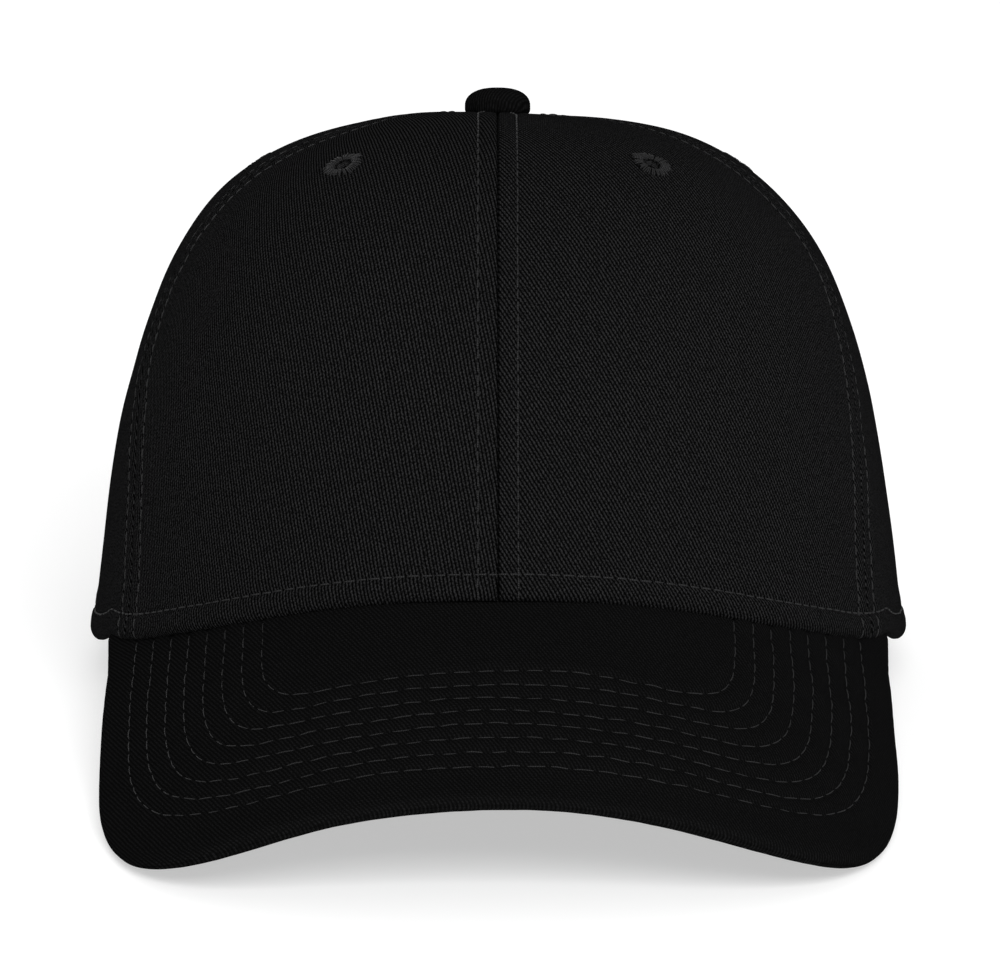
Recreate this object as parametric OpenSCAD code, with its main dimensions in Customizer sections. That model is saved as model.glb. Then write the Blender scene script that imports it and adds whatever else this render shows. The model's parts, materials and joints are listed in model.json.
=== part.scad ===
// Six-panel baseball cap with a curved visor, a covered top button and a strap
// with a lever buckle at the back. Millimetres. The front faces -Y, +X is the
// wearer's left, +Z is up. The cap stands on a flat surface at z = 0: it rests on
// the two corners of its visor and on the back of its hem.

/* [Crown] */
// Half of the width across the hem
crown_half_width = 90.5; // [88:0.5:93]
// Distance from the middle to the front of the hem
crown_front_reach = 95.5; // [93:0.5:98]
// Distance from the middle to the back of the hem
crown_back_reach = 100; // [97:0.5:103]
// Height of the top above the side of the hem
crown_height = 107.9; // [104:0.1:111]
// How far the top lies behind the middle
top_back = 15; // [12:0.5:18]
// Backward slope of the top, in degrees
top_slope = 8; // [6:0.5:10]
// How full the front panels stand: 2 is round, larger is squarer
front_fullness = 3.15; // [2.9:0.05:3.4]
// How full the side panels stand
side_fullness = 3.35; // [2.9:0.05:3.6]
// How full the back panels stand
back_fullness = 2.6; // [2.4:0.05:2.9]
// Share of the width that the walls lose on the way up
wall_taper = 0.13; // [0.1:0.01:0.15]
// How far the hem dips behind the visor's ends
hem_dip = 6.8; // [6:0.2:8]
// Thickness of the twill of the crown
twill = 1; // [0.8:0.1:1]

/* [Visor] */
// Downward slope of the visor at its middle, in degrees
visor_slope = 22.5; // [21:0.5:25]
// How far the visor's sides hang below its middle
visor_droop = 37.6; // [36:0.2:39]
// How the bend grows towards the sides: 2 is an even bend
visor_bend = 2.27; // [2.15:0.01:2.35]
// How far the visor's ends turn down beside the crown
visor_end_drop = 2.2; // [1.6:0.1:2.6]
// Half of the width of the visor
visor_half_span = 84.7; // [84:0.1:85.2]
// Depth of the visor from the hem to its front edge
visor_depth = 70.5; // [67:0.5:73]
// How square the front corners are: 2 is round
visor_corner = 4.3; // [3.8:0.1:4.6]
// Where the visor's ends meet the hem, in degrees from the front
visor_end = 67; // [66:0.5:68]
// Thickness of each cloth cover
cover = 0.75; // [0.6:0.05:0.8]
// Thickness of the stiff board
board = 1.8; // [1.5:0.1:1.9]

/* [Back opening] */
// Half of the opening's width, in degrees round the hem
opening_half = 26; // [25:0.5:27]
// Height of the opening's arch
opening_height = 50; // [47:1:54]
// Height of the strap's middle above the hem
strap_height = 17; // [16.5:0.5:18]
// Width of the strap
strap_width = 20; // [19:0.5:20.5]
// How far the buckle's lever is lifted, in degrees
lever_lift = 0; // [0:5:110]

/* [Button and eyelets] */
// Diameter of the covered top button
button_d = 14; // [12:0.5:15]
// Height of the covered top button
button_h = 5.2; // [4.5:0.1:6]
// Outer diameter of an embroidered eyelet
eyelet_d = 9; // [8:0.5:10]
// Diameter of the hole in an eyelet
eyelet_hole = 3.4; // [3:0.1:3.8]

/* [Hidden] */
$fn = 48;

black_twill = [0.055, 0.055, 0.06];
black_cloth = [0.07, 0.07, 0.075];
grey_metal = [0.62, 0.62, 0.64];

panel_columns = 8;
panel_rows = 14;
visor_columns = 44;
visor_rows = 5;
hem_roundness = 2.15;
mid_roundness = 2.25;
top_hole_up = 88.6;
piece_gap = 0.05;
hem_gap = 0.3;
hem_settle = 9.5;

buckram_depth = twill + 0.05;
buckram = 0.5;
tape_depth = 2.2;
tape = 0.4;
tape_half = 6;
band_depth = 3;
band = 1.6;
band_top = 33;
strap = 1.2;
seam_inset = 2.2;

// The visor's sides are straight up to here, measured out from the front of the hem
visor_shoulder = -29;
// Distance from the middle at which the visor hangs by visor_droop
visor_droop_at = 85;
// Where the visor's ends start to turn down, and over what distance
end_drop_from = -18;
end_drop_run = 32;
// Share of the visor's outer edge that is its rounded front
visor_front_share = 0.82;

// How far the buckle stands out behind the crown
buckle_reach = 6.4;

// ---- Shape of the crown: directions from the front round to the back ----

function blend(a, b, t) = a + (b - a) * t;
function ease(t) = let (c = min(max(t, 0), 1)) c * c * (3 - 2 * c);
function degrees(arc, radius) = arc / radius * 180 / PI;

// How far a rounded square section reaches in a direction, relative to its axes
function section(az, roundness) =
    pow(pow(abs(sin(az)), roundness) + pow(abs(cos(az)), roundness), -1 / roundness);

function reach(az) = cos(az) > 0 ? crown_front_reach : crown_back_reach;

function hem_xy(az, depth) = let (k = section(az, hem_roundness))
    [(crown_half_width - depth) * sin(az) * k, -(reach(az) - depth) * cos(az) * k];

// How far the visor hangs at a distance from its middle, and how steep it is there
function droop(x) = visor_droop * pow(abs(x) / visor_droop_at, visor_bend);
function droop_tilt(x) = atan(sign(x) * visor_bend * visor_droop / visor_droop_at
    * pow(abs(x) / visor_droop_at, visor_bend - 1));

// How far the visor's ends turn down, at a distance out from the front of the hem
function end_drop(out) = visor_end_drop * ease((end_drop_from - out) / end_drop_run);

// A point of the plan, measured across and out on the visor's top face
function visor_flat(at) =
    [at.x, (droop(at.x) * sin(visor_slope) - at.y - crown_front_reach) / cos(visor_slope)];

// Height of the visor's top face over a point of the plan, from the front of the hem
function visor_rise(at) =
    let (out = visor_flat(at).y)
    -out * sin(visor_slope) - droop(at.x) * cos(visor_slope) - end_drop(out);

front_rise = -visor_rise(hem_xy(visor_end, 0));

function hem_z(az, depth) = abs(az) < visor_end
    ? front_rise + visor_rise(hem_xy(az, depth)) + hem_gap
    : front_rise + visor_rise(hem_xy(visor_end, depth)) + hem_gap
        - hem_dip * (1 - exp(-max(abs(az) - visor_end - 0.6, 0) / hem_settle));

function fullness(az) = let (c = cos(az))
    side_fullness + ((c > 0 ? front_fullness : back_fullness) - side_fullness) * c * c;

// Point of the crown at a share of its full width and of its full height
function crown_at(az, wide, rise, depth) =
    let (out = wide * (1 - wall_taper * rise),
         roundness = blend(hem_roundness, mid_roundness, sin(90 * min(rise, 1))),
         k = section(az, roundness) * out,
         x = (crown_half_width - depth) * sin(az) * k,
         y = top_back * rise - (reach(az) - depth) * cos(az) * k,
         z = blend(hem_z(az, depth), crown_height - depth, rise)
             - tan(top_slope) * (y - top_back) * pow(rise, 1.5))
    [x, y, z];

// Point of the crown at an angle up from the hem: 0 is the hem, 90 is the top
function crown(az, up, depth) =
    let (n = fullness(az), r = pow(pow(cos(up), n) + pow(sin(up), n), -1 / n))
    crown_at(az, r * cos(up), r * sin(up), depth);

// The same at a height above the hem, for what lies along the lower wall
function rise_of(az, height) = height / (crown_height - hem_z(az, 0));
function width_of(az, rise) = let (n = fullness(az)) pow(1 - pow(rise, n), 1 / n);
function wall(az, height, depth) =
    let (rise = rise_of(az, height)) crown_at(az, width_of(az, rise), rise, depth);

// Seams between panels: 0 front centre, 1 front, 2 rear, 3 back centre
function swell(up, at, spread) = exp(-pow((up - at) / spread, 2));
function seam_az(seam, up) = seam == 1 ? 60 + 10 * swell(up, 38, 20) - 4 * swell(up, 62, 12)
    : seam == 2 ? 120 + 3 * sin(2 * up) : seam * 60;

function panel_az(seam, across, up) = blend(seam_az(seam, up), seam_az(seam + 1, up), across);

// Lower end of a panel's column: the hem, or the edge of the back opening
function column_start(seam, across) =
    let (az = panel_az(seam, across, 0), off = (180 - az) / opening_half)
    seam < 2 || off >= 1 ? 0
    : let (rise = rise_of(az, opening_height * sqrt(1 - off * off)))
        atan2(rise, width_of(az, rise));

// Columns of a panel, closer together where the back opening is steep
opening_from = 1 - opening_half / 60;
back_columns = concat([for (i = [0 : 4]) opening_from * i / 5],
    [for (i = [0 : 8]) 1 - opening_half * cos(i * 90 / 8) / 60]);
front_columns = [for (i = [0 : panel_columns]) i / panel_columns];

// ---- Closed shells from two grids of points ----

function grid_faces(rows, cols, base, flip) = [for (i = [0 : rows - 2], j = [0 : cols - 2])
    let (a = base + i * cols + j, b = a + 1, c = a + cols + 1, d = a + cols)
    each flip ? [[a, c, b], [a, d, c]] : [[a, b, c], [a, c, d]]];

function rim(rows, cols) = concat([for (j = [0 : cols - 1]) j],
    [for (i = [1 : rows - 1]) i * cols + cols - 1],
    [for (j = [cols - 2 : -1 : 0]) (rows - 1) * cols + j],
    [for (i = [rows - 2 : -1 : 1]) i * cols]);

function rim_faces(rows, cols) = let (r = rim(rows, cols), half = rows * cols, n = len(r))
    [for (i = [0 : n - 1]) let (a = r[i], b = r[(i + 1) % n])
        each [[a, b, half + a], [b, half + b, half + a]]];

// outer and inner are lists of rows, and side is -1 for a mirrored piece
module shell(outer, inner, side = 1) {
    rows = len(outer);
    cols = len(outer[0]);
    points = [for (face = [outer, inner], row = face, p = row) [p.x * side, p.y, p.z]];
    faces = concat(grid_faces(rows, cols, 0, true),
        grid_faces(rows, cols, rows * cols, false), rim_faces(rows, cols));
    polyhedron(points, side > 0 ? faces : [for (f = faces) [f[0], f[2], f[1]]]);
}

// The whole cap leans forward until visor corners and back hem stand on z = 0
visor_low = [for (i = [0 : 60]) let (at = visor_outline(i / 60, 0))
    visor(at.x, at.y, 2 * cover + board + 4 * piece_gap)];
hem_low = [for (az = [100 : 2 : 154]) crown(az, 0, 0)];
rest_lean = atan(max([for (v = visor_low) min([for (h = hem_low) (h.z - v.z) / (h.y - v.y)])]));
lift = max([for (v = visor_low) v.y * sin(rest_lean) - v.z * cos(rest_lean)]);

// The plan is centred between the front edge of the visor and the buckle
function stand_y(p) = p.y * cos(rest_lean) + p.z * sin(rest_lean);
front_edge = stand_y(visor(0, visor_depth, 0));
back_edge = stand_y(wall(180, strap_height, -buckle_reach));
middle = -(front_edge + back_edge) / 2;

module stand() {
    translate([0, middle, lift]) rotate([-rest_lean, 0, 0]) children();
}

// ---- Crown pieces ----

// Panel seam counts from the front: 0 front, 1 side, 2 back
module panel_shell(seam, depth, thick, side, first_row = 0) {
    columns = seam == 2 ? back_columns : front_columns;
    grid = [for (d = [depth, depth + thick]) [for (j = [first_row : panel_rows])
        [for (u = columns) let (low = column_start(seam, u),
            up = blend(low, top_hole_up, j / panel_rows))
            crown(panel_az(seam, u, up), up, d)]]];
    shell(grid[0], grid[1], side);
}

// Middle of an eyelet, as the panel's seam number, share across and angle up
eyelet_across = [0.53, 0.6, 0.45];
eyelet_up = [51.3, 53, 54];

module at_eyelet(seam, side) {
    up = eyelet_up[seam];
    az = panel_az(seam, eyelet_across[seam], up);
    p = crown(az, up, 0);
    sideways = crown(az + 1, up, 0) - crown(az - 1, up, 0);
    upwards = crown(az, up + 1, 0) - crown(az, up - 1, 0);
    n = cross(sideways, upwards) / norm(cross(sideways, upwards));
    translate([side * p.x, p.y, p.z])
        rotate([0, acos(n.z), atan2(n.y, side * n.x)])
            children();
}

module panel(seam, side) {
    color(black_twill) stand() difference() {
        panel_shell(seam, 0, twill, side);
        at_eyelet(seam, side) cylinder(d = eyelet_hole + 2.2, h = 12, center = true);
    }
}

module buckram_piece(side) {
    color([0.8, 0.8, 0.78]) stand() difference() {
        panel_shell(0, buckram_depth, buckram, side, 1);
        at_eyelet(0, side) cylinder(d = eyelet_hole + 2.2, h = 14, center = true);
    }
}

// Tape that covers a seam on the inside; side 0 is a tape on the middle line
module seam_tape(seam, side) {
    low = seam == 3 ? 7 : 1;
    grid = [for (d = [tape_depth, tape_depth + tape]) [for (j = [low : panel_rows - 1])
        let (up = top_hole_up * j / panel_rows, az = seam_az(seam, up),
             arm = norm([crown(az, up, 0).x, crown(az, up, 0).y - top_back]) + 1,
             half = degrees(tape_half, arm))
        [for (k = [-1, 0, 1]) crown(az + k * half, up, d)]]];
    color(black_cloth) stand() shell(grid[0], grid[1], side < 0 ? -1 : 1);
}

// One ring of embroidery: a low rounded rim and a lining of the hole
module eyelet_ring() {
    rotate_extrude() {
        translate([eyelet_hole / 2, -twill - buckram - 0.3])
            square([0.7, twill + buckram + 0.8]);
        translate([eyelet_hole / 2, 0.3]) square([(eyelet_d - eyelet_hole) / 2 - 0.5, 0.7]);
        translate([eyelet_d / 2 - 0.5, 0.65]) circle(r = 0.35);
    }
}

module eyelets() {
    color(black_cloth) stand()
        for (seam = [0 : 2], side = [-1, 1]) at_eyelet(seam, side) eyelet_ring();
}

// ---- Top button, on the sloping top of the crown ----

module at_top() {
    stand() translate([0, top_back, crown_height]) rotate([-top_slope, 0, 0]) children();
}

// Half of a domed cap of the button, as an outline to be turned round its axis
module dome_half(r, h) {
    intersection() {
        scale([1, h / r]) circle(r = r);
        square([r, h]);
    }
}

module top_button_cover() {
    color(black_twill) at_top() translate([0, 0, 0.4]) rotate_extrude() difference() {
        dome_half(button_d / 2, button_h);
        dome_half(button_d / 2 - 0.8, button_h - 0.8);
    }
}

module top_button_shell() {
    color(grey_metal) at_top() translate([0, 0, 0.4]) rotate_extrude() difference() {
        dome_half(button_d / 2 - 0.9, button_h - 0.9);
        dome_half(button_d / 2 - 1.6, button_h - 1.6);
    }
}

module top_button_prong() {
    color(grey_metal) at_top() {
        translate([0, 0, 0.6]) cylinder(r = button_d / 2 - 2, h = 0.6);
        translate([0, 0, -4.6]) cylinder(r = 0.8, h = 5.4);
        translate([0, 0, -5.2]) cylinder(r = 5.5, h = 0.7);
    }
}

// ---- Visor, at a distance across and out, and at a depth below its top face ----

function visor(across, out, below) =
    let (tilt = droop_tilt(across), drop = droop(across) + below * cos(tilt))
    [across - below * sin(tilt),
        -crown_front_reach - out * cos(visor_slope) + drop * sin(visor_slope),
        front_rise - out * sin(visor_slope) - drop * cos(visor_slope) - end_drop(out)];

// Outer edge for t from 0 at the middle to 1 at the visor's end, moved in by inset
function visor_outline(t, inset) = t <= visor_front_share
    ? let (turn = 90 * t / visor_front_share, k = section(turn, visor_corner))
        [(visor_half_span - inset) * sin(turn) * k,
            visor_shoulder + (visor_depth - visor_shoulder - inset) * cos(turn) * k]
    : blend([visor_half_span - inset, visor_shoulder],
        visor_flat(hem_xy(visor_end, inset - 1.2)),
        (t - visor_front_share) / (1 - visor_front_share));

module visor_layer(below, thick, inset) {
    grid = [for (n = [below, below + thick]) [for (j = [0 : visor_rows])
        [for (i = [-visor_columns / 2 : visor_columns / 2])
            let (t = abs(i) / (visor_columns / 2),
                 a = visor_flat(hem_xy(visor_end * t, seam_inset)),
                 b = visor_outline(t, inset),
                 at = blend(a, b, j / visor_rows))
            visor(at.x * sign(i), at.y, n)]]];
    stand() shell(grid[1], grid[0]);
}

module visor_top_cover() {
    color(black_twill) visor_layer(0, cover, 0);
}

module visor_board() {
    color([0.85, 0.85, 0.82]) visor_layer(cover + piece_gap, board, 0.6);
}

module visor_under_cover() {
    color(black_twill) visor_layer(cover + board + 2 * piece_gap, cover, 0);
}

// ---- Bands along the hem ----

// A strip from one direction to another, between two heights; the depth of its
// outer face is looked up by a named path
function path_depth(path, az) = path == "strap"
    ? blend(1.5, -1.6, ease((az - 168) / 17)) : path;

module strip(from, to, low, high, path, thick, columns, side = 1) {
    grid = [for (d = [0, thick]) [for (height = [low, high]) [for (i = [0 : columns])
        let (az = blend(from, to, i / columns))
        wall(az, height, path_depth(path, az) + d)]]];
    shell(grid[0], grid[1], side);
}

module sweatband() {
    edge = 180 - opening_half - 1;
    grid = [for (d = [band_depth, band_depth + band]) [for (k = [0 : 4]) [for (i = [-28 : 28])
        wall(edge * i / 28, 0.4 + (band_top - 0.4) * k / 4, d)]]];
    color(black_cloth) stand() shell(grid[0], grid[1]);
}

module sweatband_piping() {
    edge = 180 - opening_half - 1;
    grid = [for (d = [band_depth - 0.3, band_depth + band + 0.3])
        [for (height = [band_top + 0.2, band_top + 3]) [for (i = [-28 : 28])
            wall(edge * i / 28, height, d)]]];
    color(black_twill) stand() shell(grid[0], grid[1]);
}

module care_label() {
    color([0.9, 0.9, 0.88]) stand()
        strip(128, 146, 8, 28, band_depth + band + 0.4, 0.4, 6);
}

// Tape along the edge of the back opening, above the strap
module back_arch_binding() {
    wide = 7;
    turns = [for (i = [-8 : 8]) i * 54 / 8];
    grid = [for (d = [twill + 0.35, twill + 0.8]) [for (s = [0, 0.5, 1]) [for (t = turns)
        let (u = 1 - opening_half * cos(90 - abs(t)) / 60,
             low = column_start(2, u),
             az = panel_az(2, u, low),
             spread = s * wide,
             turned = az - degrees(spread * sin(abs(t)), crown_back_reach),
             p = crown(turned, low, d),
             q = crown(turned, low + degrees(spread * cos(t), crown_back_reach), d))
        [q.x * (t < 0 ? -1 : 1), q.y, q.z]]]];
    color(black_twill) stand() shell(grid[1], grid[0]);
}

// ---- Strap and buckle; the strap comes from the wearer's left ----

module back_strap() {
    color(black_twill) stand()
        strip(147, 222, strap_height - strap_width / 2, strap_height + strap_width / 2,
            "strap", strap, 50);
}

bar_x = -11;
bar_y = -3;
bar_r = 1.2;
tab_loop_r = 2.35;

module strap_tab() {
    low = strap_height - 9;
    color(black_twill) difference() {
        union() {
            stand() strip(187.6, 212, low, low + 18, 1.6, 1, 16);
            at_buckle() translate([bar_x, bar_y, -9]) cylinder(r = tab_loop_r, h = 18);
        }
        at_buckle() translate([bar_x, bar_y, -10]) cylinder(r = bar_r + 0.1, h = 20);
    }
}

// A cloth loop on the right back panel that holds the strap's free end
module strap_keeper() {
    half = strap_width / 2 + 1.8;
    outer_path = [[-half - 0.6, -0.15], [-half, -2.9], [half, -2.9], [half + 0.6, -0.15]];
    inner_path = [[0.9 - half, -0.15], [0.9 - half, -2.1], [half - 0.9, -2.1],
        [half - 0.9, -0.15]];
    grid = [for (path = [outer_path, inner_path]) [for (at = path)
        [for (az = [212.5, 214.2, 215.9, 217.5]) wall(az, strap_height + at.x, at.y)]]];
    color(black_twill) stand() shell(grid[0], grid[1]);
}

back_foot = wall(180, strap_height - 10, 0);
back_head = wall(180, strap_height + 10, 0);
buckle_lean = atan2(back_foot.y - back_head.y, back_head.z - back_foot.z);

module at_buckle() {
    stand() translate(wall(180, strap_height, 0)) rotate([buckle_lean, 0, 0]) children();
}

pin_x = 8;
pin_y = 2;
pin_r = 1;
rail_z = strap_width / 2 + 0.9;
rail = 1.6;
lever_half = strap_width / 2 - 0.3;

module rail_outline() {
    hull() {
        translate([pin_x, pin_y]) circle(r = 2.6);
        translate([pin_x + 1, -2.4]) circle(r = 1.4);
        translate([bar_x, bar_y]) circle(r = 2.1);
        translate([bar_x + 3, 0.6]) circle(r = 1);
    }
}

module buckle_frame() {
    color(grey_metal) at_buckle() {
        for (z = [-rail_z - rail, rail_z]) translate([0, 0, z]) difference() {
            linear_extrude(rail) rail_outline();
            translate([pin_x, pin_y, -1]) cylinder(r = pin_r, h = rail + 2);
        }
        translate([bar_x, bar_y, -rail_z - 0.2]) cylinder(r = bar_r, h = 2 * rail_z + 0.4);
        translate([-4, -2.1, -rail_z - 0.2]) cube([6, 1.2, 2 * rail_z + 0.4]);
    }
}

module buckle_pin() {
    pin_half = rail_z + rail + 0.3;
    color(grey_metal) at_buckle() translate([pin_x, pin_y, -pin_half])
        cylinder(r = pin_r, h = 2 * pin_half);
}

module lever_outline() {
    difference() {
        union() {
            circle(r = 1.9);
            translate([-15.5, 0.3]) square([15.5, 1.1]);
            translate([-15.5, 0.85]) circle(r = 0.55);
            translate([-17, 1.35]) rotate([0, 0, -25]) square([1.9, 0.9]);
        }
        circle(r = pin_r + 0.06);
    }
}

module buckle_lever() {
    color(grey_metal) at_buckle() translate([pin_x, pin_y, 0]) rotate([0, 0, -lever_lift])
        translate([0, 0, -lever_half]) linear_extrude(2 * lever_half) lever_outline();
}

panel(0, 1);  // front_panel_left
panel(0, -1);  // front_panel_right
panel(1, 1);  // side_panel_left
panel(1, -1);  // side_panel_right
panel(2, 1);  // back_panel_left
panel(2, -1);  // back_panel_right
buckram_piece(1);  // front_buckram_left
buckram_piece(-1);  // front_buckram_right
seam_tape(0, 0);  // front_centre_tape
seam_tape(1, 1);  // front_tape_left
seam_tape(1, -1);  // front_tape_right
seam_tape(2, 1);  // rear_tape_left
seam_tape(2, -1);  // rear_tape_right
seam_tape(3, 0);  // back_centre_tape
eyelets();
top_button_cover();
top_button_shell();
top_button_prong();
visor_top_cover();
visor_board();
visor_under_cover();
sweatband();
sweatband_piping();
back_arch_binding();
back_strap();
strap_tab();
strap_keeper();
buckle_frame();
buckle_pin();
buckle_lever();
care_label();
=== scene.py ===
import json
import math

import bmesh
import bpy
import numpy as np
from mathutils import Matrix, Vector


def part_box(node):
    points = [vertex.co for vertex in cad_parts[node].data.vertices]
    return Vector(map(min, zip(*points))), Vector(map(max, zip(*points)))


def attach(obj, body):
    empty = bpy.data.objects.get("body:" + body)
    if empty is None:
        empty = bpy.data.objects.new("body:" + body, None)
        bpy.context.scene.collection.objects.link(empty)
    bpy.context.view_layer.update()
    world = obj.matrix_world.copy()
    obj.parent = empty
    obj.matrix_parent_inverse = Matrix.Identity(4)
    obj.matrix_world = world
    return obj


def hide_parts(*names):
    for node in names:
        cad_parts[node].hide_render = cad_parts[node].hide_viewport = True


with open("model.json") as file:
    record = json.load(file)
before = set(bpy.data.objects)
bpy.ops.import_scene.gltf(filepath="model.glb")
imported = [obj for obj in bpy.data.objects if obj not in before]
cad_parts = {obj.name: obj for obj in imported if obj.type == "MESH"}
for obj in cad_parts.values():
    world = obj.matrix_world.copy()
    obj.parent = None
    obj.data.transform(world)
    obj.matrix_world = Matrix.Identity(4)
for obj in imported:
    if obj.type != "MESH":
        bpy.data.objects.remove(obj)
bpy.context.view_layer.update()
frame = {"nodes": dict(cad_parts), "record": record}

# Driving dimensions. Shapes are worked out in millimetres in the cap's own
# frame (hem level, front at -Y) and are placed in the row frame at the end.

MM = 0.001
opening = next(m for m in frame["record"]["mounts"] if m["name"] == "head_opening")
CAP_ORIGIN = np.array(opening["pos_m"])
CAP_UP = -np.array(opening["axis"])
REST_LEAN = math.atan2(CAP_UP[1], CAP_UP[2])

HALF_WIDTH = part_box("side_panel_left")[1].x / MM
FRONT_REACH = 95.5
BACK_REACH = 100.0
CROWN_HEIGHT = 107.9
TOP_BACK = 15.0
TOP_SLOPE = math.radians(8)
FRONT_FULLNESS = 3.15
SIDE_FULLNESS = 3.35
BACK_FULLNESS = 2.6
WALL_TAPER = 0.13
HEM_DIP = 6.8
HEM_SETTLE = math.radians(9.5)
HEM_ROUNDNESS = 2.15
MID_ROUNDNESS = 2.25
TWILL = 1.0
HEM_GAP = 0.3
BUCKRAM_DEPTH = 1.1
BUCKRAM = 0.5
TAPE_DEPTH = 2.2
TAPE = 0.4
TAPE_WIDTH = 12.0

VISOR_SLOPE = math.radians(22.5)
VISOR_DROOP = 37.6
VISOR_DROOP_AT = 85.0
VISOR_BEND = 2.27
END_DROP = 2.2
END_DROP_FROM = -18.0
END_DROP_RUN = 32.0
VISOR_HALF_SPAN = 84.7
VISOR_DEPTH = 70.5
VISOR_CORNER = 4.3
VISOR_END = math.radians(67)
VISOR_SHOULDER = -29.0
VISOR_FRONT_SHARE = 0.82
VISOR_THICK = 3.4
HEM_TUCK = 2.2

ROWS_ON_VISOR = 8
ROW_SPACING = 4.8
SIDE_SPACING = 4.07
FRONT_MARGIN = 12.05
SIDE_MARGIN = 6.65

OPENING_HALF = math.radians(26)
OPENING_HEIGHT = 50.0
STRAP_HEIGHT = 17.0
STRAP_WIDTH = 20.0
STRAP_THICK = 1.2
TAB_WIDTH = 18.0

SEAM_STITCH = 4.2
HEM_STITCH = 5.5
WALE = 0.76
TOP_HOLE_UP = math.radians(88.6)
EYELET_HOLE = 1.9
BUCKRAM_HOLE = 2.4
WALL_RADIUS = 90


def lean(points, angle):
    """Points turned about the X axis, so that the front rises."""
    c, s = math.cos(angle), math.sin(angle)
    turn = np.array([[1, 0, 0], [0, c, s], [0, -s, c]])
    return np.asarray(points, float) @ turn.T


def to_row(points):
    """Points of the cap's own frame, in millimetres, to the row frame, in metres."""
    return lean(points, REST_LEAN) * MM + CAP_ORIGIN


# --- Small tools ---


def blend(a, b, t):
    return a + (b - a) * t


def ease(t):
    t = np.clip(t, 0, 1)
    return t * t * (3 - 2 * t)


def bump(x, centre, width):
    return np.exp(-(((x - centre) / width) ** 2))


def unit(v):
    return v / np.maximum(np.linalg.norm(v, axis=-1, keepdims=True), 1e-9)


def columns(*parts):
    """Arrays set side by side along a new last axis."""
    return np.stack(np.broadcast_arrays(*parts), -1)


def mirrored(points, side):
    """Points of the left half, or for side -1 their mirror images in the right half."""
    return points * columns(side, 1, 1)


def arc_lengths(points, axis):
    """Running length of a grid of points along one of its first two axes."""
    steps = np.linalg.norm(np.diff(points, axis=axis), axis=-1)
    pad = [(0, 0)] * steps.ndim
    pad[axis] = (1, 0)
    return np.pad(np.cumsum(steps, axis=axis), pad)


class Ripple:
    """Smooth noise made of waves in fixed, seeded directions."""

    def __init__(self, seed, wavelength, waves=14):
        rng = np.random.default_rng(seed)
        self.push = unit(rng.normal(size=(waves, 3)))
        self.push *= (2 * np.pi / (wavelength * rng.uniform(0.7, 1.6, (waves, 1))))
        self.start = rng.uniform(0, 2 * np.pi, waves)
        self.gain = (2 / waves) ** 0.5

    def __call__(self, points):
        return self.gain * np.sin(points @ self.push.T + self.start).sum(-1)


SOFT = Ripple(1, 52)
DENT = Ripple(2, 23)
PUCKER = Ripple(3, 6.5)
FINE = Ripple(4, 3.2)


# --- The shape of the crown and of the visor ---


def section(az, roundness):
    total = np.abs(np.sin(az)) ** roundness + np.abs(np.cos(az)) ** roundness
    return total ** (-1 / roundness)


def reach(az):
    return np.where(np.cos(az) > 0, FRONT_REACH, BACK_REACH)


def hem_xy(az, depth):
    k = section(az, HEM_ROUNDNESS)
    return (HALF_WIDTH - depth) * np.sin(az) * k, -(reach(az) - depth) * np.cos(az) * k


def droop(x):
    """How far the visor hangs at a distance from its middle."""
    return VISOR_DROOP * np.abs(x / VISOR_DROOP_AT) ** VISOR_BEND


def droop_tilt(x):
    share = np.abs(x / VISOR_DROOP_AT) ** (VISOR_BEND - 1)
    return np.arctan(np.sign(x) * VISOR_BEND * VISOR_DROOP / VISOR_DROOP_AT * share)


def end_drop(out):
    """How far the visor's ends turn down beside the crown."""
    return END_DROP * ease((END_DROP_FROM - out) / END_DROP_RUN)


def visor_flat(x, y):
    """A point of the plan, measured across and out on the visor's top face."""
    return x, (droop(x) * math.sin(VISOR_SLOPE) - y - FRONT_REACH) / math.cos(VISOR_SLOPE)


def visor_rise(x, y):
    out = visor_flat(x, y)[1]
    return -out * math.sin(VISOR_SLOPE) - droop(x) * math.cos(VISOR_SLOPE) - end_drop(out)


FRONT_RISE = -float(visor_rise(*hem_xy(VISOR_END, 0)))


def hem_z(az, depth):
    az = np.abs(az)
    at = np.minimum(az, VISOR_END)
    z = FRONT_RISE + visor_rise(*hem_xy(at, depth)) + HEM_GAP
    past = np.maximum(az - VISOR_END - math.radians(0.6), 0)
    return z - HEM_DIP * (1 - np.exp(-past / HEM_SETTLE))


def fullness(az):
    c = np.cos(az)
    end = np.where(c > 0, FRONT_FULLNESS, BACK_FULLNESS)
    return SIDE_FULLNESS + (end - SIDE_FULLNESS) * c * c


def crown_at(az, wide, rise, depth):
    """Point of the crown at a share of its full width and of its full height."""
    roundness = blend(HEM_ROUNDNESS, MID_ROUNDNESS, np.sin(np.pi / 2 * np.clip(rise, 0, 1)))
    k = section(az, roundness) * wide * (1 - WALL_TAPER * rise)
    x = (HALF_WIDTH - depth) * np.sin(az) * k
    y = TOP_BACK * rise - (reach(az) - depth) * np.cos(az) * k
    z = blend(hem_z(az, depth), CROWN_HEIGHT - depth, rise)
    z = z - math.tan(TOP_SLOPE) * (y - TOP_BACK) * np.abs(rise) ** 1.5
    return columns(x, y, z)


def crown(az, up, depth):
    """Point of the crown at an angle up from the hem: 0 is the hem, a right angle the top."""
    n = fullness(az)
    c, s = np.clip(np.cos(up), 0, 1), np.clip(np.sin(up), 0, 1)
    r = (c**n + s**n) ** (-1 / n)
    return crown_at(az, r * c, r * s, depth)


def rise_of(az, height):
    return height / (CROWN_HEIGHT - hem_z(az, 0))


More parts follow.
